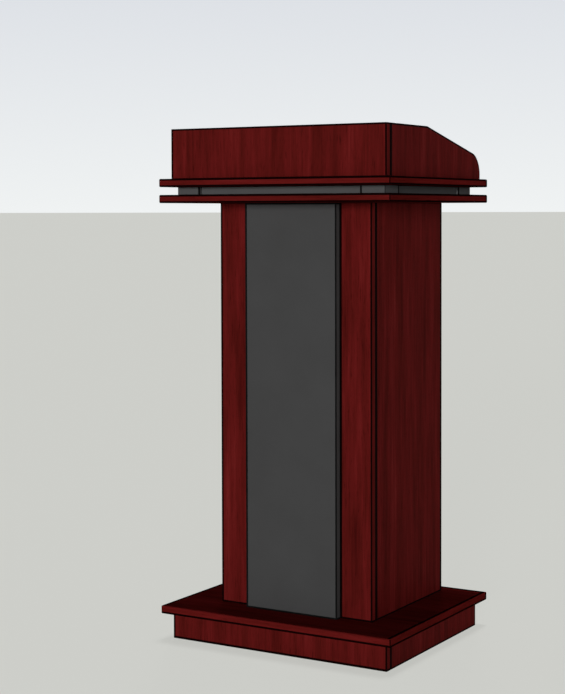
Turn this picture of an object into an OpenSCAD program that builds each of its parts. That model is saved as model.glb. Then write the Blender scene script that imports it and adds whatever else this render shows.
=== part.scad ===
// Free-standing wooden pulpit: a plinth, a box column with an applied accent panel,
// two spaced top boards and a reading desk between shaped cheeks.
// Front faces -Y, the speaker stands at +Y, +Z is up, millimetres.
// Origin: on the floor, under the centre of the top boards.

/* [Sheet stock] */
// Thickness of every panel and board
sheet_t = 19; // [16:0.5:25]
// Flat eased along the edges of the three wide boards
board_ease = 3; // [0.5:0.5:5]

/* [Boards] */
// Width of the base board and the two top boards
board_w = 604; // [560:1:680]
// Depth of the base board and the two top boards
board_d = 500; // [470:1:560]

/* [Plinth] */
// Height from the floor to the underside of the base board
plinth_h = 62; // [50:1:100]
// Set-back of the plinth from the sides of the base board
plinth_inset_side = 20; // [10:1:40]
// Set-back of the plinth from the front and back of the base board
plinth_inset_end = 22; // [10:1:40]
// Side of the square corner blocks inside the plinth
corner_block = 45; // [36:1:60]
// Height of the glides under the corner blocks
glide_h = 2; // [1:0.5:6]
// Diameter of the glides
glide_d = 24; // [16:1:30]

/* [Column] */
// Outer width of the column
column_w = 402; // [360:1:440]
// Outer depth of the column, front panel included
column_d = 354; // [320:1:380]
// Height of the column between the base board and the lower top board
column_h = 938; // [700:1:1000]
// Distance from the front edge of the boards to the column front
column_setback = 105; // [85:1:115]
// Width of the accent panel on the column front
accent_w = 242; // [180:1:300]
// Thickness of the accent panel
accent_t = 19; // [16:0.5:25]
// Height of the shelf top above the base board
shelf_rise = 620; // [300:5:700]
// Distance from the shelf to the open back of the column
shelf_setback = 24; // [10:1:60]
// Height of the stiffening rail at the top of the open back
rail_h = 60; // [50:1:90]

/* [Neck] */
// Gap between the two top boards
neck_gap = 18; // [14:0.5:30]
// Set-back of the spacer blocks from the sides of the boards
neck_inset_side = 30; // [20:1:45]
// Set-back of the spacer blocks from the front and back of the boards
neck_inset_end = 34; // [20:1:45]
// Width of a corner spacer block, along the front
block_w = 62; // [50:1:80]
// Depth of a corner spacer block, along the side
block_d = 65; // [50:1:80]
// How far the spacer strips lie behind the block faces
strip_recess = 6; // [3:0.5:12]
// Width of the spacer strips, laid flat
strip_w = 44; // [30:1:50]

/* [Desk] */
// Height of the desk front above the upper top board
desk_h = 115; // [100:1:140]
// Set-back of the desk cheeks from the sides of the boards
desk_inset_side = 20; // [10:1:40]
// Set-back of the desk front from the front of the boards
desk_inset_front = 22; // [10:1:40]
// Depth of the level top behind the desk front
crown_d = 197; // [160:1:230]
// Height where the slope would meet the back edge of the cheeks
nose_h = 53; // [48:1:70]
// Radius of the rounded back of the cheeks
nose_r = 50; // [20:1:54]
// How far the cheeks stand above the reading surface
rim_h = 16; // [8:1:20]
// Height of the book stop above the reading surface
stop_h = 12; // [6:1:14]
// Thickness of the book stop
stop_t = 12; // [9:1:18]

/* [Joinery] */
// Section of the square cleats and ledgers
cleat_s = 20; // [18:1:26]
// Diameter of the dowels
dowel_d = 8; // [6:0.5:10]
// Length of the dowels in the panel joints
dowel_l = 32; // [26:1:40]
// Depth of a dowel in the face of a panel
dowel_bite = 12; // [8:1:13]
// Shank diameter of the screws
screw_d = 4; // [3:0.5:5]
// Head diameter of the screws
screw_head_d = 8; // [6.5:0.5:10]
// Depth of a screw in the panel that it holds
screw_bite = 12; // [8:1:13]
// Length of the screws that go through a corner block into the base board
block_screw_l = 46; // [36:1:50]
// Play around a dowel or screw in its hole
play = 0.1; // [0.05:0.05:0.3]

// Side play of the boards that drop in between the desk cheeks
desk_play = 0.25; // [0.1:0.05:0.5]

/* [Fastener spacing] */
// From the bottom and top of the plinth strips to their dowels
plinth_dowel_margin = 14; // [12:1:18]
// From the bottom and top of the column to the end dowels
column_dowel_margin = 70; // [30:1:120]
// From the bottom and top of the back rail to its dowels
rail_dowel_margin = 15; // [10:1:20]
// From the bottom and top of the desk front to the end dowels
desk_dowel_margin = 20; // [12:1:30]
// From the ends of the book stop to its end dowels
stop_dowel_margin = 60; // [30:1:100]
// From the ends of a column cleat to its end screws
cleat_screw_margin = 30; // [20:1:45]
// From the ends of a column cleat to its sideways screws
cleat_side_margin = 70; // [60:1:90]
// From the sides of the accent panel to its screws
accent_side_margin = 40; // [25:1:60]
// From the bottom and top of the accent panel to its end screws
accent_end_margin = 110; // [60:1:160]
// From the ends of a desk cleat to its end screws
desk_foot_margin = 40; // [25:1:55]
// From the ends of a desk cleat to its sideways screws
desk_side_margin = 80; // [70:1:100]
// From the ends of a crown or reading ledger to its screws
ledger_margin = 25; // [15:1:35]

/* [Hidden] */
$fn = 48;
tiny = 1;

wood = "#571413";
wood_shade = "#43100e";
charcoal = "#404040";
pine = "#c9a877";
beech = "#d8b98a";
zinc = "#b8bcc0";
nylon = "#e6e3da";

// Screws through a cleat, and screws through the column front
screw_l = cleat_s + screw_bite;
accent_screw_l = sheet_t + screw_bite;

base_z = plinth_h;
col_z = base_z + sheet_t;
low_z = col_z + column_h;
gap_z = low_z + sheet_t;
up_z = gap_z + neck_gap;
desk_z = up_z + sheet_t;

front_y = -board_d / 2;
back_y = board_d / 2;

plinth_x = board_w / 2 - plinth_inset_side;
plinth_y0 = front_y + plinth_inset_end;
plinth_y1 = back_y - plinth_inset_end;

col_x = column_w / 2;
col_in = col_x - sheet_t;
col_y0 = front_y + column_setback;
col_side_y0 = col_y0 + sheet_t;
col_y1 = col_y0 + column_d;
shelf_y1 = col_y1 - shelf_setback;
shelf_z = col_z + shelf_rise - sheet_t;

neck_x = board_w / 2 - neck_inset_side;
neck_y0 = front_y + neck_inset_end;
neck_y1 = back_y - neck_inset_end;

desk_x = board_w / 2 - desk_inset_side;
desk_in = desk_x - sheet_t;
board_in = desk_in - desk_play;
desk_y0 = front_y + desk_inset_front;
desk_d = back_y - desk_y0;

// Slope of the reading surface, and the tangent points of the rounded back
slope = atan((desk_h - nose_h) / (desk_d - crown_d));
nose_tangent = nose_r * tan((90 - slope) / 2);
nose_cy = desk_d - nose_r;
nose_cz = nose_h - nose_tangent;
nose_flats = 24;

// Reading surface, measured from the desk front and the upper board
crown_z = desk_h - rim_h;
fold_y = crown_d - rim_h * tan(slope / 2);
fold_under_y = fold_y - sheet_t * tan(slope / 2);
read_end_y = desk_d - nose_r - stop_t;
read_len = (read_end_y - fold_y) / cos(slope);
apron_y1 = read_end_y - sheet_t * sin(slope);
stop_bite = stop_t * 2 / 3;

// Place of a joint's dowels or screws along a length, kept clear of both ends
function spread(length, count, margin) =
    [for (i = [0 : count - 1]) margin + i * (length - 2 * margin) / max(1, count - 1)];

// Height of the underside of the reading board at a distance from the desk front
function read_under_z(y) = crown_z - (y - fold_y) * tan(slope) - sheet_t / cos(slope);

// Shared shapes

module slab(low, high) {
    translate(low) cube(high - low);
}

module eased_rect(w, h, e) {
    polygon([
        [e - w / 2, -h / 2], [w / 2 - e, -h / 2], [w / 2, e - h / 2], [w / 2, h / 2 - e],
        [w / 2 - e, h / 2], [e - w / 2, h / 2], [-w / 2, h / 2 - e], [-w / 2, e - h / 2]
    ]);
}

// A board lying flat, centred in X and Y, with all its edges eased
module eased_board(z) {
    translate([0, 0, z + sheet_t / 2]) intersection() {
        translate([0, 0, -sheet_t / 2]) linear_extrude(sheet_t)
            eased_rect(board_w, board_d, board_ease);
        rotate([90, 0, 0]) translate([0, 0, -board_d / 2]) linear_extrude(board_d)
            eased_rect(board_w, sheet_t, board_ease);
        rotate([90, 0, 90]) translate([0, 0, -board_w / 2]) linear_extrude(board_w)
            eased_rect(board_d, sheet_t, board_ease);
    }
}

// A profile in the YZ plane of the desk, carried along X from x0 to x1
module desk_profile(x0, x1) {
    translate([x0, desk_y0, desk_z]) rotate([90, 0, 90]) linear_extrude(x1 - x0) children();
}

// A dowel along +Z from the joint, with its bite below the joint plane
module dowel(length, bite, extra = 0) {
    translate([0, 0, -bite - extra]) cylinder(d = dowel_d + 2 * extra, h = length + 2 * extra);
}

// A countersunk screw along -Z with the top of its head at the origin
module screw(length) {
    head_h = (screw_head_d - screw_d) / 2;
    recess_w = screw_d / 4;
    recess_h = head_h / 2;
    difference() {
        union() {
            translate([0, 0, -length]) cylinder(d = screw_d, h = length - head_h / 2);
            translate([0, 0, -head_h]) cylinder(d1 = screw_d, d2 = screw_head_d, h = head_h);
        }
        for (turn = [0, 90]) rotate(turn)
            translate([-screw_d / 2, -recess_w / 2, -recess_h])
                cube([screw_d, recess_w, recess_h + tiny]);
    }
}

// The hole for a screw, countersunk at the face it is driven from
module screw_hole(length) {
    head_h = (screw_head_d - screw_d) / 2;
    translate([0, 0, -length - play]) cylinder(d = screw_d + 2 * play, h = length + play + tiny);
    translate([0, 0, -head_h - play])
        cylinder(d1 = screw_d + 2 * play, d2 = screw_head_d + 4 * play, h = head_h + 2 * play);
}

// Where the dowels and screws go: each module places its children at every joint

plinth_dowel_z = spread(plinth_h - glide_h, 2, plinth_dowel_margin);

module at_plinth_dowels() {
    for (side = [-1, 1], z = plinth_dowel_z) {
        translate([side * (plinth_x - sheet_t / 2), plinth_y0 + sheet_t, glide_h + z])
            rotate([-90, 0, 0]) children();
        translate([side * (plinth_x - sheet_t), plinth_y1 - sheet_t / 2, glide_h + z])
            rotate([0, -side * 90, 0]) children();
    }
}

module at_column_dowels() {
    for (side = [-1, 1], z = spread(column_h, 6, column_dowel_margin))
        translate([side * (col_x - sheet_t / 2), col_side_y0, col_z + z])
            rotate([-90, 0, 0]) children();
    for (side = [-1, 1], z = spread(rail_h, 2, rail_dowel_margin))
        translate([side * col_in, col_y1 - sheet_t / 2, low_z - rail_h + z])
            rotate([0, -side * 90, 0]) children();
}

module at_neck_dowels() {
    for (side = [-1, 1], end = [-1, 1], step = [-1, 1])
        translate([
            side * (neck_x - block_w / 2 + step * block_w / 4),
            end < 0 ? neck_y0 + block_d / 2 + step * block_d / 4
                    : neck_y1 - block_d / 2 + step * block_d / 4,
            gap_z
        ]) children();
}

module at_desk_dowels() {
    for (side = [-1, 1], z = spread(desk_h, 3, desk_dowel_margin))
        translate([side * (desk_x - sheet_t / 2), desk_y0 + sheet_t, desk_z + z])
            rotate([-90, 0, 0]) children();
    for (side = [-1, 1])
        translate([side * desk_in, desk_y0 + apron_y1 - sheet_t / 2, desk_z + sheet_t / 2])
            rotate([0, -side * 90, 0]) children();
}

module at_stop_dowels() {
    for (x = spread(2 * desk_in, 4, stop_dowel_margin))
        translate([x - desk_in, desk_y0 + fold_y, desk_z + crown_z]) rotate([-slope, 0, 0])
            translate([0, read_len, -sheet_t / 2]) rotate([90, 0, 0]) children();
}

// The corner blocks' screws start this far up the block
block_screw_z = plinth_h - block_screw_l + screw_bite;

module at_block_screws() {
    offset_in = corner_block / 4;
    for (side = [-1, 1], end = [plinth_y0 + sheet_t + offset_in, plinth_y1 - sheet_t - offset_in])
        translate([side * (plinth_x - sheet_t - offset_in), end, block_screw_z])
            rotate([180, 0, 0]) children();
}

glide_in = corner_block - glide_d / 2;

module at_glides() {
    for (side = [-1, 1], end = [plinth_y0 + sheet_t + glide_in, plinth_y1 - sheet_t - glide_in])
        translate([side * (plinth_x - sheet_t - glide_in), end, 0]) children();
}

cleat_y0 = col_side_y0 + cleat_s;
cleat_y1 = shelf_y1 - cleat_s;
cleat_len = cleat_y1 - cleat_y0;

// Down through the foot cleats into the base board
module at_foot_screws() {
    for (side = [-1, 1], y = spread(cleat_len, 3, cleat_screw_margin))
        translate([side * (col_in - cleat_s / 2), cleat_y0 + y, col_z + cleat_s]) children();
}

// Up through the head cleats into the lower top board
module at_head_screws() {
    for (side = [-1, 1], y = spread(cleat_len, 3, cleat_screw_margin))
        translate([side * (col_in - cleat_s / 2), cleat_y0 + y, low_z - cleat_s])
            rotate([180, 0, 0]) children();
}

// Up through the shelf cleats into the shelf
module at_shelf_screws() {
    for (side = [-1, 1], y = spread(cleat_len, 3, cleat_screw_margin))
        translate([side * (col_in - cleat_s / 2), cleat_y0 + y, shelf_z - cleat_s])
            rotate([180, 0, 0]) children();
}

// Sideways through the foot, shelf and head cleats into the column sides
module at_cleat_screws() {
    for (side = [-1, 1], y = spread(cleat_len, 2, cleat_side_margin),
         z = [col_z + cleat_s / 2, shelf_z - cleat_s / 2, low_z - cleat_s / 2])
        translate([side * (col_in - cleat_s), cleat_y0 + y, z])
            rotate([0, -side * 90, 0]) children();
}

// From inside the column, through the front panel into the accent panel
module at_accent_screws() {
    for (x = spread(accent_w, 2, accent_side_margin), z = spread(column_h, 4, accent_end_margin))
        translate([x - accent_w / 2, col_side_y0, col_z + z]) rotate([-90, 0, 0]) children();
}

desk_cleat_y0 = sheet_t + cleat_s;
desk_cleat_y1 = apron_y1 - sheet_t - cleat_s;
desk_cleat_len = desk_cleat_y1 - desk_cleat_y0;
crown_ledger_y1 = fold_under_y - cleat_s;
crown_ledger_len = crown_ledger_y1 - desk_cleat_y0;
read_ledger_s0 = cleat_s * 2;
read_ledger_len = read_len - read_ledger_s0 - sheet_t - cleat_s * 2;

// Down through the desk cleats into the upper top board
module at_desk_foot_screws() {
    for (side = [-1, 1], y = spread(desk_cleat_len, 3, desk_foot_margin))
        translate([side * (desk_in - cleat_s / 2), desk_y0 + desk_cleat_y0 + y, desk_z + cleat_s])
            children();
}

// Sideways through the desk cleats into the cheeks
module at_desk_side_screws() {
    for (side = [-1, 1], y = spread(desk_cleat_len, 2, desk_side_margin))
        translate([side * (desk_in - cleat_s), desk_y0 + desk_cleat_y0 + y, desk_z + cleat_s / 2])
            rotate([0, -side * 90, 0]) children();
}

// Up through the crown ledgers into the crown board
module at_crown_screws() {
    for (side = [-1, 1], y = spread(crown_ledger_len, 2, ledger_margin))
        translate([
            side * (desk_in - cleat_s / 2), desk_y0 + desk_cleat_y0 + y,
            desk_z + crown_z - sheet_t - cleat_s
        ]) rotate([180, 0, 0]) children();
}

// Sideways through the crown ledgers into the cheeks
module at_crown_side_screws() {
    for (side = [-1, 1])
        translate([
            side * (desk_in - cleat_s), desk_y0 + desk_cleat_y0 + crown_ledger_len / 2,
            desk_z + crown_z - sheet_t - cleat_s / 2
        ]) rotate([0, -side * 90, 0]) children();
}

// The reading board's own frame: Y runs down the slope, Z stands on its underside
module on_reading_underside() {
    translate([0, desk_y0 + fold_y, desk_z + crown_z]) rotate([-slope, 0, 0])
        translate([0, 0, -sheet_t]) children();
}

// Up through the reading ledgers into the reading board
module at_reading_screws() {
    on_reading_underside() for (side = [-1, 1], s = spread(read_ledger_len, 2, ledger_margin))
        translate([side * (desk_in - cleat_s / 2), read_ledger_s0 + s, -cleat_s])
            rotate([180, 0, 0]) children();
}

// Sideways through the reading ledgers into the cheeks
module at_reading_side_screws() {
    on_reading_underside() for (side = [-1, 1])
        translate([
            side * (desk_in - cleat_s), read_ledger_s0 + read_ledger_len / 2, -cleat_s / 2
        ]) rotate([0, -side * 90, 0]) children();
}

// Plinth

module plinth_front() {
    color(wood) difference() {
        slab([-plinth_x, plinth_y0, glide_h], [plinth_x, plinth_y0 + sheet_t, base_z]);
        at_plinth_dowels() dowel(dowel_l, dowel_bite, play);
    }
}

module plinth_back() {
    x = plinth_x - sheet_t;
    color(wood_shade) difference() {
        slab([-x, plinth_y1 - sheet_t, glide_h], [x, plinth_y1, base_z]);
        at_plinth_dowels() dowel(dowel_l, dowel_bite, play);
    }
}

module plinth_side(side) {
    x = side < 0 ? -plinth_x : plinth_x - sheet_t;
    color(wood_shade) difference() {
        slab([x, plinth_y0 + sheet_t, glide_h], [x + sheet_t, plinth_y1, base_z]);
        at_plinth_dowels() dowel(dowel_l, dowel_bite, play);
    }
}

// Glue blocks in the corners, screwed up into the base board and drilled for the glides
module plinth_corner_blocks() {
    x1 = plinth_x - sheet_t;
    color(pine) difference() {
        for (side = [-1, 1], end = [-1, 1])
            slab(
                [side < 0 ? -x1 : x1 - corner_block,
                 end < 0 ? plinth_y0 + sheet_t : plinth_y1 - sheet_t - corner_block, glide_h],
                [side < 0 ? corner_block - x1 : x1,
                 end < 0 ? plinth_y0 + sheet_t + corner_block : plinth_y1 - sheet_t, base_z]
            );
        at_block_screws() {
            screw_hole(block_screw_l);
            cylinder(d = screw_head_d + 4 * play, h = block_screw_z);
        }
        at_glides() cylinder(d = screw_d + 2 * play, h = glide_h + sheet_t + play);
    }
}

// Nylon glides with a driven pin
module floor_glides() {
    color(nylon) at_glides() {
        cylinder(d = glide_d, h = glide_h);
        cylinder(d = screw_d, h = glide_h + sheet_t);
    }
}

module base_board() {
    color(wood) difference() {
        eased_board(base_z);
        at_block_screws() screw_hole(block_screw_l);
        at_foot_screws() screw_hole(screw_l);
    }
}

// Column

module column_front() {
    color(wood) difference() {
        slab([-col_x, col_y0, col_z], [col_x, col_side_y0, low_z]);
        at_column_dowels() dowel(dowel_l, dowel_bite, play);
        at_accent_screws() screw_hole(accent_screw_l);
    }
}

module column_side(side) {
    x = side < 0 ? -col_x : col_in;
    color(wood_shade) difference() {
        slab([x, col_side_y0, col_z], [x + sheet_t, col_y1, low_z]);
        at_column_dowels() dowel(dowel_l, dowel_bite, play);
        at_cleat_screws() screw_hole(screw_l);
    }
}

module accent_panel() {
    color(charcoal) difference() {
        slab([-accent_w / 2, col_y0 - accent_t, col_z], [accent_w / 2, col_y0, low_z]);
        at_accent_screws() screw_hole(accent_screw_l);
    }
}

module column_shelf() {
    color(wood) difference() {
        slab([-col_in, col_side_y0, shelf_z], [col_in, shelf_y1, shelf_z + sheet_t]);
        at_shelf_screws() screw_hole(screw_l);
    }
}

// A cleat on the inside of a column side, from z upwards
module column_cleat(side, z) {
    x = side < 0 ? -col_in : col_in - cleat_s;
    color(pine) difference() {
        slab([x, cleat_y0, z], [x + cleat_s, cleat_y1, z + cleat_s]);
        at_foot_screws() screw_hole(screw_l);
        at_head_screws() screw_hole(screw_l);
        at_shelf_screws() screw_hole(screw_l);
        at_cleat_screws() screw_hole(screw_l);
    }
}

module rear_rail() {
    color(wood_shade) difference() {
        slab([-col_in, col_y1 - sheet_t, low_z - rail_h], [col_in, col_y1, low_z]);
        at_column_dowels() dowel(dowel_l, dowel_bite, play);
    }
}

// Neck

module lower_top_board() {
    color(wood) difference() {
        eased_board(low_z);
        at_head_screws() screw_hole(screw_l);
        at_neck_dowels() dowel(neck_gap + 2 * dowel_bite, dowel_bite, play);
    }
}

module upper_top_board() {
    color(wood) difference() {
        eased_board(up_z);
        at_neck_dowels() dowel(neck_gap + 2 * dowel_bite, dowel_bite, play);
        at_desk_foot_screws() screw_hole(screw_l);
    }
}

module spacer_block(side, end) {
    x = side < 0 ? -neck_x : neck_x - block_w;
    y = end < 0 ? neck_y0 : neck_y1 - block_d;
    color(charcoal) difference() {
        slab([x, y, gap_z], [x + block_w, y + block_d, up_z]);
        at_neck_dowels() dowel(neck_gap + 2 * dowel_bite, dowel_bite, play);
    }
}

// A strip between two blocks along the front or the back
module spacer_long(end) {
    x = neck_x - block_w;
    y = end < 0 ? neck_y0 + strip_recess : neck_y1 - strip_recess - strip_w;
    color(charcoal) slab([-x, y, gap_z], [x, y + strip_w, up_z]);
}

// A strip between two blocks along a side
module spacer_short(side) {
    x = side < 0 ? strip_recess - neck_x : neck_x - strip_recess - strip_w;
    color(charcoal) slab([x, neck_y0 + block_d, gap_z], [x + strip_w, neck_y1 - block_d, up_z]);
}

// Desk

module desk_front() {
    color(wood) difference() {
        slab([-desk_x, desk_y0, desk_z], [desk_x, desk_y0 + sheet_t, desk_z + desk_h]);
        at_desk_dowels() dowel(dowel_l, dowel_bite, play);
    }
}

// Side of the desk: level, then sloping to a rounded back, turned in short flats
module cheek_outline() {
    turn = 90 - slope;
    polygon(concat(
        [[sheet_t, 0], [sheet_t, desk_h], [crown_d, desk_h]],
        [for (i = [0 : nose_flats])
            let (a = turn * (1 - i / nose_flats))
            [nose_cy + nose_r * cos(a), nose_cz + nose_r * sin(a)]],
        [[desk_d, 0]]
    ));
}

module desk_cheek(side) {
    x = side < 0 ? -desk_x : desk_in;
    color(wood_shade) difference() {
        desk_profile(x, x + sheet_t) cheek_outline();
        at_desk_dowels() dowel(dowel_l, dowel_bite, play);
        at_desk_side_screws() screw_hole(screw_l);
        at_crown_side_screws() screw_hole(screw_l);
        at_reading_side_screws() screw_hole(screw_l);
    }
}

// Level board behind the desk front, mitred to the reading board
module crown_board() {
    color(wood) difference() {
        desk_profile(-board_in, board_in) polygon([
            [sheet_t, crown_z], [fold_y, crown_z],
            [fold_under_y, crown_z - sheet_t], [sheet_t, crown_z - sheet_t]
        ]);
        at_crown_screws() screw_hole(screw_l);
    }
}

module reading_board() {
    end_z = crown_z - read_len * sin(slope);
    color(wood) difference() {
        desk_profile(-board_in, board_in) polygon([
            [fold_y, crown_z], [read_end_y, end_z],
            [read_end_y - sheet_t * sin(slope), end_z - sheet_t * cos(slope)],
            [fold_under_y, crown_z - sheet_t]
        ]);
        at_reading_screws() screw_hole(screw_l);
        at_stop_dowels() dowel(dowel_l, stop_bite, play);
    }
}

// Strip across the low end of the reading board that keeps a book from sliding off
module book_stop() {
    color(wood) difference() {
        on_reading_underside()
            slab([-board_in, read_len, 0], [board_in, read_len + stop_t, sheet_t + stop_h]);
        at_stop_dowels() dowel(dowel_l, stop_bite, play);
    }
}

// Closes the desk under the low end of the reading board
module desk_apron() {
    y0 = apron_y1 - sheet_t;
    color(wood_shade) difference() {
        desk_profile(-board_in, board_in) polygon([
            [y0, 0], [apron_y1, 0], [apron_y1, read_under_z(apron_y1)], [y0, read_under_z(y0)]
        ]);
        at_desk_dowels() dowel(dowel_l, dowel_bite, play);
    }
}

module desk_cleat(side) {
    x = side < 0 ? -desk_in : desk_in - cleat_s;
    color(pine) difference() {
        slab(
            [x, desk_y0 + desk_cleat_y0, desk_z],
            [x + cleat_s, desk_y0 + desk_cleat_y1, desk_z + cleat_s]
        );
        at_desk_foot_screws() screw_hole(screw_l);
        at_desk_side_screws() screw_hole(screw_l);
    }
}

module crown_ledger(side) {
    x = side < 0 ? -desk_in : desk_in - cleat_s;
    z = desk_z + crown_z - sheet_t;
    color(pine) difference() {
        slab(
            [x, desk_y0 + desk_cleat_y0, z - cleat_s],
            [x + cleat_s, desk_y0 + crown_ledger_y1, z]
        );
        at_crown_screws() screw_hole(screw_l);
        at_crown_side_screws() screw_hole(screw_l);
    }
}

module reading_ledger(side) {
    x = side < 0 ? -desk_in : desk_in - cleat_s;
    color(pine) difference() {
        on_reading_underside()
            slab([x, read_ledger_s0, -cleat_s], [x + cleat_s, read_ledger_s0 + read_ledger_len, 0]);
        at_reading_screws() screw_hole(screw_l);
        at_reading_side_screws() screw_hole(screw_l);
    }
}

// Dowels and screws, grouped by the joint that they hold

module plinth_dowels() {
    color(beech) at_plinth_dowels() dowel(dowel_l, dowel_bite);
}

module column_dowels() {
    color(beech) at_column_dowels() dowel(dowel_l, dowel_bite);
}

module neck_dowels() {
    color(beech) at_neck_dowels() dowel(neck_gap + 2 * dowel_bite, dowel_bite);
}

module desk_dowels() {
    color(beech) {
        at_desk_dowels() dowel(dowel_l, dowel_bite);
        at_stop_dowels() dowel(dowel_l, stop_bite);
    }
}

module block_screws() {
    color(zinc) at_block_screws() screw(block_screw_l);
}

module column_screws() {
    color(zinc) {
        at_foot_screws() screw(screw_l);
        at_head_screws() screw(screw_l);
        at_shelf_screws() screw(screw_l);
        at_cleat_screws() screw(screw_l);
    }
}

module accent_screws() {
    color(zinc) at_accent_screws() screw(accent_screw_l);
}

module desk_screws() {
    color(zinc) {
        at_desk_foot_screws() screw(screw_l);
        at_desk_side_screws() screw(screw_l);
        at_crown_screws() screw(screw_l);
        at_crown_side_screws() screw(screw_l);
        at_reading_screws() screw(screw_l);
        at_reading_side_screws() screw(screw_l);
    }
}

plinth_front();
plinth_back();
plinth_side(-1);  // plinth_left
plinth_side(1);  // plinth_right
plinth_corner_blocks();
floor_glides();
base_board();
column_front();
column_side(-1);  // column_left
column_side(1);  // column_right
accent_panel();
column_shelf();
column_cleat(-1, shelf_z - cleat_s);  // shelf_cleat_left
column_cleat(1, shelf_z - cleat_s);  // shelf_cleat_right
column_cleat(-1, col_z);  // foot_cleat_left
column_cleat(1, col_z);  // foot_cleat_right
column_cleat(-1, low_z - cleat_s);  // head_cleat_left
column_cleat(1, low_z - cleat_s);  // head_cleat_right
rear_rail();
lower_top_board();
spacer_long(-1);  // spacer_front
spacer_long(1);  // spacer_back
spacer_short(-1);  // spacer_left
spacer_short(1);  // spacer_right
spacer_block(-1, -1);  // spacer_block_front_left
spacer_block(1, -1);  // spacer_block_front_right
spacer_block(-1, 1);  // spacer_block_back_left
spacer_block(1, 1);  // spacer_block_back_right
upper_top_board();
desk_front();
desk_cheek(-1);  // desk_cheek_left
desk_cheek(1);  // desk_cheek_right
crown_board();
reading_board();
book_stop();
desk_apron();
desk_cleat(-1);  // desk_cleat_left
desk_cleat(1);  // desk_cleat_right
crown_ledger(-1);  // crown_ledger_left
crown_ledger(1);  // crown_ledger_right
reading_ledger(-1);  // reading_ledger_left
reading_ledger(1);  // reading_ledger_right
plinth_dowels();
column_dowels();
neck_dowels();
desk_dowels();
block_screws();
column_screws();
accent_screws();
desk_screws();
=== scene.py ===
import math

import bpy
from mathutils import Euler, Matrix, Vector


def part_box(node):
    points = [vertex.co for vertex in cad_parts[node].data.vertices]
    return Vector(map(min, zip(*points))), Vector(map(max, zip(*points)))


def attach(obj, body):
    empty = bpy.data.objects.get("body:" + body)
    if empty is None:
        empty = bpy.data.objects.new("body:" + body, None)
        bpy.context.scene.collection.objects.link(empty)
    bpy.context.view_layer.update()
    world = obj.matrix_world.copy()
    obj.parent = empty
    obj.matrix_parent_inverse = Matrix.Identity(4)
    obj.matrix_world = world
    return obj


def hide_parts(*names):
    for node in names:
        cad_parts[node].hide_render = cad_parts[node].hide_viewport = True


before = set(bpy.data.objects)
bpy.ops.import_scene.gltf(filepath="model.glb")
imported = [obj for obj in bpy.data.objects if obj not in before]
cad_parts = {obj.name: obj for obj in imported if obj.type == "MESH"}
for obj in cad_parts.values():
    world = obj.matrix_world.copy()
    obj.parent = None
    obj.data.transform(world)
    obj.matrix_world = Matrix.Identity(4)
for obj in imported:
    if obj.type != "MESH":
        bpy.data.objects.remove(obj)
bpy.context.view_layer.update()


# Plinth: four strips of veneered board on edge, the front one covering the ends of the sides.
# Dowels hold the corners. The arrises are eased and lined with a dark glaze, so that each joint
# reads as a fine dark line.

class Value:
    """A shader socket that takes part in sums and adds the Math nodes that they need."""

    def __init__(self, tree, socket):
        self.tree = tree
        self.socket = socket

    def calculate(self, operation, first, second):
        math_node = self.tree.nodes.new("ShaderNodeMath")
        math_node.operation = operation
        for socket, value in zip(math_node.inputs, (first, second)):
            join(self.tree, socket, value)
        return Value(self.tree, math_node.outputs[0])

    def __add__(self, other):
        return self.calculate("ADD", self, other)

    def __radd__(self, other):
        return self.calculate("ADD", other, self)

    def __sub__(self, other):
        return self.calculate("SUBTRACT", self, other)

    def __rsub__(self, other):
        return self.calculate("SUBTRACT", other, self)

    def __mul__(self, other):
        return self.calculate("MULTIPLY", self, other)

    def __rmul__(self, other):
        return self.calculate("MULTIPLY", other, self)


def join(tree, socket, value):
    """Links a value to a socket, or sets the socket to a number, colour or vector."""
    if isinstance(value, Value):
        tree.links.new(value.socket, socket)
    else:
        socket.default_value = value


class Finish:
    """The nodes of a material or of the backdrop, with one method that adds any node."""

    def __init__(self, owner, shader="Principled BSDF"):
        owner.use_nodes = True
        self.owner = owner
        self.tree = owner.node_tree
        self.shader = self.tree.nodes[shader]

    def node(self, kind, inputs, output=0, stops=None, **settings):
        made = self.tree.nodes.new(kind)
        for name, value in settings.items():
            setattr(made, name, value)
        if stops:
            elements = made.color_ramp.elements
            while len(elements) < len(stops):
                elements.new(0.5)
            for element, (position, colour) in zip(elements, stops):
                element.position = position
                element.color = (*colour, 1)
        for name, value in inputs.items():
            join(self.tree, made.inputs[name], value)
        return Value(self.tree, made.outputs[output])

    def surface(self, **sockets):
        for name, value in sockets.items():
            join(self.tree, self.shader.inputs[name.replace("_", " ")], value)
        return self.owner


def new_finish(name):
    return Finish(bpy.data.materials.new(name))


def grain_scale(along, squeeze):
    """The scale of a pattern that is drawn out along one axis."""
    return tuple(squeeze if axis == along else 1 for axis in "XYZ")


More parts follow.
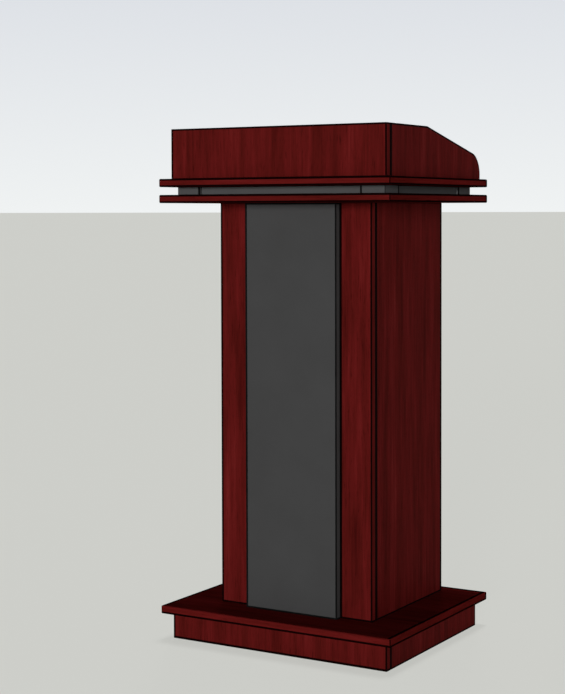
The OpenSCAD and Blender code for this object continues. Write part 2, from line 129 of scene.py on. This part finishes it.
def veneer(name, along, shift, stops, pore_depth=0.16, gloss=0.006):
    """Mahogany veneer: broad bands, fine fibres and short pores that run along one axis."""
    finish = new_finish(name)
    position = finish.node("ShaderNodeTexCoord", {}, "Object")

    def streaks(scale, squeeze, detail):
        leaf = finish.node(
            "ShaderNodeMapping",
            {"Vector": position, "Location": shift, "Scale": grain_scale(along, squeeze)},
        )
        return finish.node(
            "ShaderNodeTexNoise",
            {"Vector": leaf, "Scale": scale, "Detail": detail, "Roughness": 0.6},
        )

    bands = streaks(scale=30, squeeze=0.10, detail=3)
    ribbon = streaks(scale=95, squeeze=0.05, detail=2)
    fibres = streaks(scale=420, squeeze=0.02, detail=4)
    specks = streaks(scale=900, squeeze=0.04, detail=1)
    pores = finish.node(
        "ShaderNodeMapRange",
        {"Value": specks, "From Min": 0.60, "From Max": 0.72},
        interpolation_type="SMOOTHSTEP",
    )
    band_share, ribbon_share, fibre_share = 0.5, 0.3, 0.2
    figure = bands * band_share + ribbon * ribbon_share + fibres * fibre_share - pores * pore_depth
    colour = finish.node("ShaderNodeValToRGB", {"Fac": figure}, stops=stops)
    fibre_height = 0.5
    relief = finish.node(
        "ShaderNodeBump",
        {"Height": fibres * fibre_height - pores, "Strength": 0.25, "Distance": 0.00015},
    )
    smoothest, fibre_dulling = 0.50, 0.16
    return finish.surface(
        Base_Color=colour,
        Roughness=smoothest + fibres * fibre_dulling,
        Normal=relief,
        Specular_IOR_Level=gloss,
    )


mahogany_stops = [
    (0.30, (0.048, 0.0036, 0.0031)),
    (0.44, (0.086, 0.0068, 0.0056)),
    (0.54, (0.117, 0.0084, 0.0078)),
    (0.70, (0.168, 0.0150, 0.0142)),
]
glaze_stops = [
    (0.35, (0.0030, 0.0006, 0.0006)),
    (0.65, (0.0075, 0.0013, 0.0012)),
]
glaze_pores = 0.05
dark_glaze = veneer("dark_edge_glaze", "Z", (0.3, 0.7, 0.1), glaze_stops, glaze_pores)


def new_block(name, low, high):
    """A block between two corners, with its place in its mesh."""
    low, high = Vector(low), Vector(high)
    bpy.ops.object.select_all(action="DESELECT")
    bpy.ops.mesh.primitive_cube_add(size=1, location=(low + high) / 2)
    piece = bpy.context.object
    piece.name = name
    piece.data.name = name
    bpy.ops.object.mode_set(mode="EDIT")
    bpy.ops.mesh.select_all(action="SELECT")
    bpy.ops.transform.resize(value=high - low, center_override=(low + high) / 2)
    bpy.ops.object.mode_set(mode="OBJECT")
    bpy.ops.object.transform_apply(location=True, rotation=True, scale=True)
    return piece


def pick(piece, kind, test):
    """Selects the faces or edges of a piece that pass a test, and leaves it in edit mode."""
    bpy.ops.object.select_all(action="DESELECT")
    bpy.context.view_layer.objects.active = piece
    piece.select_set(True)
    bpy.ops.object.mode_set(mode="EDIT")
    bpy.ops.mesh.select_mode(type=kind)
    bpy.ops.mesh.select_all(action="DESELECT")
    bpy.ops.object.mode_set(mode="OBJECT")
    for part in piece.data.polygons if kind == "FACE" else piece.data.edges:
        part.select = test(part)
    bpy.ops.object.mode_set(mode="EDIT")


def ends(piece, edge):
    """The two end points of an edge."""
    return [piece.data.vertices[i].co for i in edge.vertices]


def give_finish(piece, place):
    """The selected faces take the finish in one of the piece's places."""
    piece.active_material_index = place
    bpy.ops.object.material_slot_assign()


def finish_faces(piece, place, test):
    """The faces that pass a test take the finish in one of the piece's places."""
    pick(piece, "FACE", test)
    give_finish(piece, place)
    bpy.ops.object.mode_set(mode="OBJECT")


def every(part):
    """A test that each face or edge passes."""
    return True


face_place = 0
edge_place = 1
sharp_angle = math.radians(11)


def ease_arrises(piece, finish, edge_finish, width, segments=3, line=0.0, lined=every):
    """Rounds each sharp edge of a piece. The rounding and a line beside it take the edge finish."""
    for material in (finish, edge_finish):
        piece.data.materials.append(material)
    if line:
        pick(piece, "FACE", lined)
        give_finish(piece, edge_place)
        bpy.ops.mesh.inset(thickness=width + line, use_individual=True)
        give_finish(piece, face_place)
        bpy.ops.object.mode_set(mode="OBJECT")
    pick(piece, "EDGE", lambda edge: False)
    bpy.ops.mesh.edges_select_sharp(sharpness=sharp_angle)
    bpy.ops.mesh.bevel(
        offset=width, segments=segments, affect="EDGES", clamp_overlap=False, material=edge_place
    )
    bpy.ops.mesh.select_all(action="SELECT")
    bpy.ops.mesh.normals_make_consistent(inside=False)
    bpy.ops.object.mode_set(mode="OBJECT")


def stand_for(piece, node):
    """The piece shows in the place of its CAD node."""
    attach(piece, "root")
    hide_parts(node)


panel_ease = 0.0014
panel_line = 0.0030


def panel(node, finish, edge_finish=dark_glaze, width=panel_ease, line=panel_line):
    """A flat panel with eased edges at the size and place of its CAD node."""
    piece = new_block(node + "_panel", *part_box(node))
    ease_arrises(piece, finish, edge_finish, width, line=line)
    stand_for(piece, node)
    return piece


side_facing = 0.7
across = 0.3


def score(piece, point, normal):
    """Scores a piece all round along a plane, so that a finish can end there."""
    pick(piece, "FACE", every)
    bpy.ops.mesh.bisect(plane_co=point, plane_no=normal)
    bpy.ops.object.mode_set(mode="OBJECT")


def dark_band(piece, point, normal, place=edge_place):
    """The upright faces that run past a plane take the finish in one place beyond it."""
    point, normal = Vector(point), Vector(normal)

    def beyond(face):
        upright = abs(face.normal.z) < across and abs(face.normal.dot(normal)) < across
        return upright and (face.center - point).dot(normal) > 0

    score(piece, point, normal)
    finish_faces(piece, place, beyond)


def edge_lines(piece, low, high, width, *sides):
    """Dark lines of one width along the named sides of a panel between two corners."""
    planes = {
        "left": ((low.x + width, 0, 0), (-1, 0, 0)),
        "right": ((high.x - width, 0, 0), (1, 0, 0)),
        "front": ((0, low.y + width, 0), (0, -1, 0)),
        "back": ((0, high.y - width, 0), (0, 1, 0)),
        "foot": ((0, 0, low.z + width), (0, 0, -1)),
        "head": ((0, 0, high.z - width), (0, 0, 1)),
    }
    for side in sides:
        dark_band(piece, *planes[side])


face_line = 0.0042
left_line = 0.0056
right_line = 0.0035
joint_line = 0.0048


def front_panel(node, finish, edge_finish=dark_glaze, across_ends=("foot", "head")):
    """A panel in front of others: fine lines on its face, and one on each end along the joint."""
    low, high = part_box(node)
    piece = panel(node, finish, edge_finish, line=0.0)
    edge_lines(piece, low, high, left_line, "left")
    edge_lines(piece, low, high, right_line, "right")
    edge_lines(piece, low, high, face_line, *across_ends)
    edge_lines(piece, low, high, joint_line, "back")
    return piece


plinth_front_veneer = veneer("plinth_front_veneer", "Z", (0.13, 0.0, 0.4), mahogany_stops)
plinth_side_veneer = veneer("plinth_side_veneer", "Z", (0.57, 0.31, 0.2), mahogany_stops)
plinth_foot_line = 0.0058
plinth_face = front_panel("plinth_front", plinth_front_veneer, across_ends=("head",))
edge_lines(plinth_face, *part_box("plinth_front"), plinth_foot_line, "foot")
panel("plinth_back", plinth_front_veneer)
panel("plinth_left", plinth_side_veneer)
panel("plinth_right", plinth_side_veneer)


# Corner blocks: planed softwood glued inside the plinth and screwed up into the base board.
# The ledgers and cleats that the desk hides are the same plain stock.

def bare_wood(name, along, shift, stops):
    """Unfinished wood with growth lines that run along one axis."""
    finish = new_finish(name)
    position = finish.node("ShaderNodeTexCoord", {}, "Object")
    leaf = finish.node(
        "ShaderNodeMapping",
        {"Vector": position, "Location": shift, "Scale": grain_scale(along, 0.04)},
    )
    rings = finish.node(
        "ShaderNodeTexNoise", {"Vector": leaf, "Scale": 160, "Detail": 3, "Distortion": 0.6}
    )
    fibres = finish.node("ShaderNodeTexNoise", {"Vector": leaf, "Scale": 900, "Detail": 2})
    ring_share, fibre_share = 0.75, 0.25
    figure = rings * ring_share + fibres * fibre_share
    colour = finish.node("ShaderNodeValToRGB", {"Fac": figure}, stops=stops)
    relief = finish.node(
        "ShaderNodeBump", {"Height": fibres, "Strength": 0.2, "Distance": 0.0002}
    )
    smoothest, fibre_dulling = 0.62, 0.15
    return finish.surface(
        Base_Color=colour,
        Roughness=smoothest + fibres * fibre_dulling,
        Normal=relief,
        Specular_IOR_Level=0.2,
    )


def finish_node(node, material):
    """Gives a CAD node that shows as it is its finish."""
    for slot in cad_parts[node].material_slots:
        slot.material = material


softwood_stops = [
    (0.35, (0.42, 0.25, 0.11)),
    (0.50, (0.55, 0.36, 0.18)),
    (0.65, (0.62, 0.44, 0.24)),
]
upright_softwood = bare_wood("upright_softwood", "Z", (0.2, 0.1, 0.0), softwood_stops)
long_softwood = bare_wood("long_softwood", "Y", (0.0, 0.4, 0.3), softwood_stops)
finish_node("plinth_corner_blocks", upright_softwood)


# Glides: moulded nylon pads on a driven pin, so that the plinth stands clear of the floor.
# One sits under each corner block.

nylon = new_finish("moulded_nylon")
nylon_grain = nylon.node(
    "ShaderNodeTexNoise",
    {"Vector": nylon.node("ShaderNodeTexCoord", {}, "Object"), "Scale": 700, "Detail": 2},
)
nylon_tint = nylon.node(
    "ShaderNodeValToRGB",
    {"Fac": nylon_grain},
    stops=[(0.3, (0.60, 0.57, 0.50)), (0.7, (0.72, 0.69, 0.62))],
)
nylon_smoothest, nylon_dulling = 0.40, 0.15
nylon.surface(Base_Color=nylon_tint, Roughness=nylon_smoothest + nylon_grain * nylon_dulling)
finish_node("floor_glides", nylon.owner)


# Base board and the two top boards: one veneered board each, wider than what is under them.
# The arrises are rounded over and the ends are lipped in veneer whose grain follows the edge.
# Dark glaze lines the edges, and the top of the base board along its ends and its back.

board_veneer = veneer("board_veneer", "X", (0.0, 0.42, 0.17), mahogany_stops, gloss=0.0)
lipping_veneer = veneer("lipping_veneer", "Y", (0.64, 0.15, 0.83), mahogany_stops, gloss=0.0)
board_glaze = veneer("dark_board_glaze", "X", (0.8, 0.25, 0.6), glaze_stops, glaze_pores, gloss=0.0)
lipping_place = 1
glaze_place = 2
board_round = 0.003
board_round_segments = 5
board_line = 0.0013
base_foot_line = 0.0024
back_line = 0.010
rim_line = 0.010
rim_back_line = 0.014
corner_facing = 0.4
nearly_level = 0.98


def wide_board(node, foot_line, lined_head):
    """A board with rounded arrises and dark lines along its edge and on its corners."""
    low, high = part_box(node)
    foot = low.z + board_round + foot_line
    head = high.z - board_round - board_line
    piece = new_block(node + "_panel", low, high)
    for finish in (board_veneer, lipping_veneer, board_glaze):
        piece.data.materials.append(finish)
    pick(piece, "EDGE", every)
    bpy.ops.mesh.bevel(offset=board_round, segments=board_round_segments, affect="EDGES")
    bpy.ops.object.mode_set(mode="OBJECT")
    for level in (foot, head):
        score(piece, (0, 0, level), (0, 0, 1))
    finish_faces(piece, lipping_place, lambda face: abs(face.normal.x) > side_facing)

    def lined(face):
        on_corner = min(abs(face.normal.x), abs(face.normal.y)) > corner_facing
        on_foot = face.center.z < foot
        on_head = lined_head and face.center.z > head
        return on_corner or (on_foot or on_head) and abs(face.normal.z) < nearly_level

    finish_faces(piece, glaze_place, lined)
    dark_band(piece, (0, high.y - back_line, 0), (0, 1, 0), glaze_place)
    stand_for(piece, node)
    return piece


base = wide_board("base_board", base_foot_line, lined_head=False)
wide_board("lower_top_board", board_line, lined_head=True)
wide_board("upper_top_board", board_line, lined_head=True)

base_low, base_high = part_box("base_board")
rim_left = base_low.x + rim_line
rim_right = base_high.x - rim_line
rim_back = base_high.y - rim_back_line
score(base, (rim_left, 0, 0), (1, 0, 0))
score(base, (rim_right, 0, 0), (1, 0, 0))
score(base, (0, rim_back, 0), (0, 1, 0))


def on_rim(face):
    """Whether a face is in the dark rim on top of the base board, at its ends and its back."""
    inside = rim_left < face.center.x < rim_right and face.center.y < rim_back
    return face.normal.z > nearly_level and not inside


finish_faces(base, glaze_place, on_rim)


# Column: a front panel of veneered board, doweled over the front edges of two sides, open at the
# back. A fixed shelf lies on softwood cleats, and a rail stiffens the top of the opening. The
# cleats show from behind, so they are stained to the colour of the veneer.

column_front_veneer = veneer("column_front_veneer", "Z", (0.41, 0.2, 0.75), mahogany_stops)
column_side_veneer = veneer("column_side_veneer", "Z", (0.9, 0.66, 0.35), mahogany_stops)
shelf_veneer = veneer("shelf_veneer", "X", (0.21, 0.8, 0.5), mahogany_stops)
side_line = 0.0066
column_back_line = 0.010
column_face = front_panel("column_front", column_front_veneer, across_ends=("foot",))
for side in ("left", "right"):
    node = "column_" + side
    upright = panel(node, column_side_veneer, line=0.0)
    edge_lines(upright, *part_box(node), side_line, "front")
    edge_lines(upright, *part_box(node), face_line, "foot")
    edge_lines(upright, *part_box(node), column_back_line, "back")
panel("column_shelf", shelf_veneer)
panel("rear_rail", shelf_veneer)
stained_stops = [
    (0.35, (0.060, 0.006, 0.005)),
    (0.50, (0.095, 0.009, 0.007)),
    (0.65, (0.130, 0.014, 0.011)),
]
stained_softwood = bare_wood("stained_softwood", "Y", (0.5, 0.3, 0.1), stained_stops)
for cleat in ("foot_cleat", "head_cleat", "shelf_cleat"):
    for side in ("left", "right"):
        finish_node(cleat + "_" + side, stained_softwood)


# Accent panel: fibreboard with a charcoal paint, screwed on through the column front.
# Its arrises are sprayed darker than its face, and the front is glazed dark under and beside it.

def paint(name, stops):
    """Sprayed matt paint with a fine tooth and a faint cloudiness."""
    finish = new_finish(name)
    position = finish.node("ShaderNodeTexCoord", {}, "Object")
    cloud = finish.node("ShaderNodeTexNoise", {"Vector": position, "Scale": 9, "Detail": 3})
    tooth = finish.node("ShaderNodeTexNoise", {"Vector": position, "Scale": 1400, "Detail": 2})
    cloud_share, tooth_share = 0.6, 0.4
    shade = cloud * cloud_share + tooth * tooth_share
    colour = finish.node("ShaderNodeValToRGB", {"Fac": shade}, stops=stops)
    relief = finish.node(
        "ShaderNodeBump", {"Height": tooth, "Strength": 0.15, "Distance": 0.0001}
    )
    smoothest, tooth_dulling = 0.58, 0.12
    return finish.surface(
        Base_Color=colour,
        Roughness=smoothest + tooth * tooth_dulling,
        Normal=relief,
        Specular_IOR_Level=0.02,
    )


charcoal_stops = [(0.35, (0.056, 0.056, 0.056)), (0.65, (0.064, 0.064, 0.0645))]
dark_charcoal_stops = [(0.35, (0.003, 0.003, 0.003)), (0.65, (0.007, 0.007, 0.007))]
charcoal = paint("charcoal_paint", charcoal_stops)
dark_charcoal = paint("charcoal_edge", dark_charcoal_stops)
front_panel("accent_panel", charcoal, dark_charcoal)

glaze_margin = 0.0035
accent_low, accent_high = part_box("accent_panel")
glaze_left = accent_low.x - glaze_margin
glaze_right = accent_high.x + glaze_margin
for edge in (glaze_left, glaze_right):
    score(column_face, (edge, 0, 0), (1, 0, 0))
finish_faces(
    column_face, edge_place,
    lambda face: face.normal.y < -side_facing and glaze_left < face.center.x < glaze_right,
)


# Spacer: corner blocks of fibreboard in charcoal paint, with strips between them that are set back
# a little from the block faces. Dowels pass through the blocks into both top boards.

# The spacer's paint is the same charcoal as the accent panel, made lighter: painted light against
# the shade that the top boards throw into the gap.
spacer_painted_light_stops = [(0.35, (0.082, 0.082, 0.082)), (0.65, (0.094, 0.094, 0.095))]
spacer_grey_painted_light = paint("spacer_paint_with_painted_light", spacer_painted_light_stops)
block_ease = 0.0010
block_line = 0.0052
for corner in ("front_left", "front_right", "back_left", "back_right"):
    node = "spacer_block_" + corner
    block = panel(node, spacer_grey_painted_light, dark_charcoal, block_ease, line=0.0)
    inner_sides = ("right" if "left" in corner else "left", "back" if "front" in corner else "front")
    edge_lines(block, *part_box(node), block_line, *inner_sides)
for side in ("front", "back", "left", "right"):
    panel("spacer_" + side, spacer_grey_painted_light, dark_charcoal, block_ease, line=0.0)


# Desk front and cheeks: a front panel of veneered board, doweled over the ends of two shaped sides.
# Each cheek is level at the front, slopes towards the speaker and ends in a rounded nose.

desk_front_veneer = veneer("desk_front_veneer", "Z", (0.05, 0.5, 0.9), mahogany_stops)
cheek_veneer = veneer("cheek_veneer", "Z", (0.73, 0.12, 0.6), mahogany_stops)
front_panel("desk_front", desk_front_veneer, across_ends=("head",))

desk_front_low, desk_front_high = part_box("desk_front")
level_depth = 0.197
nose_height = 0.053
nose_radius = 0.050
nose_segments = 32
touching = 1e-4
desk_bottom = desk_front_low.z
desk_top = desk_front_high.z
desk_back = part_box("desk_cheek_left")[1].y
slope_start = desk_front_low.y + level_depth
slope = math.atan2(desk_top - desk_bottom - nose_height, desk_back - slope_start)


def cut(piece, point, normal):
    """Saws a piece along a plane and keeps the side that the normal points away from."""
    pick(piece, "FACE", every)
    bpy.ops.mesh.bisect(plane_co=point, plane_no=normal, use_fill=True, clear_outer=True)
    bpy.ops.object.mode_set(mode="OBJECT")


def on_nose(point):
    """Whether a corner of a cheek is the one that the nose is rounded from."""
    return abs(point.y - desk_back) < touching and point.z > desk_bottom + nose_height / 2


for side in ("left", "right"):
    node = "desk_cheek_" + side
    cheek = new_block(node + "_panel", *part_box(node))
    cut(cheek, (0, slope_start, desk_top), (0, math.sin(slope), math.cos(slope)))
    pick(cheek, "EDGE", lambda edge: all(map(on_nose, ends(cheek, edge))))
    bpy.ops.mesh.bevel(
        offset=nose_radius * math.tan((math.pi / 2 - slope) / 2),
        segments=nose_segments, affect="EDGES", clamp_overlap=False,
    )
    bpy.ops.object.mode_set(mode="OBJECT")
    ease_arrises(
        cheek, cheek_veneer, dark_glaze, panel_ease, line=panel_line,
        lined=lambda face: abs(face.normal.x) > side_facing,
    )
    plain_foot = desk_bottom + panel_ease + panel_line
    finish_faces(cheek, face_place, lambda face: face.center.z < plain_foot)
    edge_lines(cheek, *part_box(node), side_line, "front")
    stand_for(cheek, node)


# Crown and reading board: a level veneered board behind the desk front, mitred to the sloping one
# that holds the book. Both lie between the cheeks, below their edges, on softwood ledgers.

reading_veneer = veneer("reading_veneer", "X", (0.33, 0.07, 0.28), mahogany_stops)
crown_low, crown_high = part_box("crown_board")
sheet = crown_high.z - crown_low.z
fold = Vector((0, crown_high.y, crown_high.z))
mitre = Vector((0, math.cos(slope / 2), -math.sin(slope / 2)))
fine_ease = 0.0008
crown = new_block("crown_board_panel", crown_low, crown_high)
cut(crown, fold, mitre)
ease_arrises(crown, reading_veneer, dark_glaze, fine_ease)
stand_for(crown, "crown_board")

off_slope = Vector((0, math.sin(slope), math.cos(slope)))
reading_length = (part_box("reading_board")[1].y - fold.y) / math.cos(slope)


def sloped_block(name, start, end, low, high):
    """A block between the cheeks, laid out along the slope and off the reading surface."""
    low_corner = (crown_low.x, fold.y + start, fold.z + low)
    high_corner = (crown_high.x, fold.y + end, fold.z + high)
    piece = new_block(name, low_corner, high_corner)
    pick(piece, "FACE", every)
    bpy.ops.transform.rotate(value=slope, orient_axis="X", center_override=fold)
    bpy.ops.object.mode_set(mode="OBJECT")
    return piece


mitre_allowance = 0.02
reading = sloped_block("reading_board_panel", -mitre_allowance, reading_length, -sheet, 0)
cut(reading, fold, -mitre)
ease_arrises(reading, reading_veneer, dark_glaze, fine_ease)
stand_for(reading, "reading_board")
for ledger in ("crown_ledger", "reading_ledger", "desk_cleat"):
    for side in ("left", "right"):
        finish_node(ledger + "_" + side, long_softwood)


# Book stop and apron: the stop is a mahogany strip, doweled to the low end of the reading board to
# keep a book from sliding off. The apron, of veneered board, is doweled between the cheeks and
# closes the desk under it.

stop_thickness = 0.012
stop_height = 0.012
stop_round = 0.0022
stop = sloped_block(
    "book_stop_strip", reading_length, reading_length + stop_thickness, -sheet, stop_height
)
ease_arrises(stop, reading_veneer, dark_glaze, stop_round, segments=4)
stand_for(stop, "book_stop")

apron = new_block("desk_apron_panel", *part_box("desk_apron"))
cut(apron, fold - off_slope * sheet, off_slope)
ease_arrises(apron, shelf_veneer, dark_glaze, fine_ease)
stand_for(apron, "desk_apron")


# Dowels and screws: turned beech dowels inside the joints, and zinc-plated countersunk screws
# through the cleats, the ledgers, the corner blocks and the column front.

beech_stops = [(0.35, (0.50, 0.33, 0.17)), (0.65, (0.64, 0.46, 0.27))]
beech = bare_wood("beech_dowel", "Y", (0.6, 0.2, 0.9), beech_stops)
for node in ("plinth_dowels", "column_dowels", "neck_dowels", "desk_dowels"):
    finish_node(node, beech)

zinc = new_finish("zinc_plate")
zinc_spangle = zinc.node(
    "ShaderNodeTexNoise",
    {"Vector": zinc.node("ShaderNodeTexCoord", {}, "Object"), "Scale": 900, "Detail": 3},
)
zinc_tint = zinc.node(
    "ShaderNodeValToRGB",
    {"Fac": zinc_spangle},
    stops=[(0.3, (0.46, 0.47, 0.49)), (0.7, (0.62, 0.63, 0.64))],
)
zinc_smoothest, zinc_dulling = 0.28, 0.2
zinc.surface(
    Base_Color=zinc_tint, Metallic=1.0, Roughness=zinc_smoothest + zinc_spangle * zinc_dulling
)
for node in ("block_screws", "column_screws", "accent_screws", "desk_screws"):
    finish_node(node, zinc.owner)


# Studio: a wide pale floor that runs to the horizon under a pale backdrop, a little darker above.
# To the camera most of the floor's light is a glow of its own, so that its shadow stays faint.

def seen_directly(finish):
    """One for what the camera sees, also in a mirror or through glass, and zero for light."""
    camera_ray = finish.node("ShaderNodeLightPath", {}, "Is Camera Ray")
    glossy_ray = finish.node("ShaderNodeLightPath", {}, "Is Glossy Ray")
    clear_ray = finish.node("ShaderNodeLightPath", {}, "Is Transmission Ray")
    return camera_ray + glossy_ray + clear_ray


floor_size = 8000
bpy.ops.object.select_all(action="DESELECT")
bpy.ops.mesh.primitive_plane_add(size=floor_size, location=(0, 0, 0))
floor = bpy.context.object
floor.name = "studio_floor"
pale_floor = new_finish("pale_floor")
pale_floor.surface(Base_Color=(0.72, 0.725, 0.70, 1), Roughness=0.9, Specular_IOR_Level=0.0)
floor_glow = pale_floor.node("ShaderNodeEmission", {"Color": (0.703, 0.712, 0.672, 1)})
floor_share = 0.72
floor_blend = pale_floor.node(
    "ShaderNodeMixShader",
    {
        0: seen_directly(pale_floor) * floor_share,
        1: Value(pale_floor.tree, pale_floor.shader.outputs[0]),
        2: floor_glow,
    },
)
join(pale_floor.tree, pale_floor.tree.nodes["Material Output"].inputs["Surface"], floor_blend)
floor.data.materials.append(pale_floor.owner)

backdrop = Finish(bpy.data.worlds.new("studio_backdrop"), "Background")
bpy.context.scene.world = backdrop.owner
direction = backdrop.node("ShaderNodeTexCoord", {}, "Generated")
height = backdrop.node("ShaderNodeSeparateXYZ", {"Vector": direction}, "Z")
pale_sky = backdrop.node(
    "ShaderNodeValToRGB",
    {"Fac": height},
    stops=[(0.0, (0.868, 0.890, 0.892)), (0.14, (0.722, 0.748, 0.790))],
)
soft_light = backdrop.node(
    "ShaderNodeValToRGB",
    {"Fac": height},
    stops=[(0.0, (0.42, 0.42, 0.42)), (0.45, (0.045, 0.045, 0.045))],
)
sky = backdrop.node(
    "ShaderNodeMix", {0: seen_directly(backdrop), 6: soft_light, 7: pale_sky}, 2, data_type="RGBA"
)
backdrop.surface(Color=sky, Strength=1.0)


# Lamps: a soft key low in front, a little to the right, and a soft fill low behind, to the left,
# so that no side is lost in shade. A weak one overhead lights the desk.

def soft_lamp(name, energy, spread, toward):
    """A lamp far away in a direction from the object, with a spread in degrees."""
    bpy.ops.object.light_add(type="SUN", location=(0, 0, 3))
    lamp = bpy.context.object
    lamp.name = name
    lamp.data.energy = energy
    lamp.data.angle = math.radians(spread)
    lamp.rotation_mode = "QUATERNION"
    lamp.rotation_quaternion = Vector(toward).to_track_quat("Z", "Y")


soft_lamp("soft_key", energy=2.4, spread=16, toward=(0.33, -0.94, 0.075))
soft_lamp("soft_fill", energy=2.3, spread=14, toward=(-0.45, 0.89, 0.06))
soft_lamp("overhead", energy=1.1, spread=2, toward=(0, 0.02, 1))


# Camera: a little below the top boards and to the right of the front, looking slightly down.
# Its lens, in pixels, and its centre give the photograph's frame of 565 by 694.

frame_w = 565
frame_h = 694
lens_px = 1602.2
centre_x = 320
centre_y = 269.13
eye = (1.8886, -3.2670, 0.9978)
downward = math.radians(2.042)
turn = math.radians(30.247)
roll = math.radians(-0.113)
bpy.ops.object.camera_add(location=eye)
camera = bpy.context.object
camera.name = "camera"
aim = Euler((math.pi / 2 - downward, 0, turn)).to_matrix()
camera.rotation_euler = (aim @ Matrix.Rotation(roll, 3, "Z")).to_euler()
camera.data.sensor_width = 36
camera.data.lens = camera.data.sensor_width * lens_px / frame_h
camera.data.shift_x = (frame_w / 2 - centre_x) / frame_h
camera.data.shift_y = (centre_y - frame_h / 2) / frame_h
camera.data.clip_end = 10000
bpy.context.scene.camera = camera
bpy.context.scene.view_settings.view_transform = "Standard"
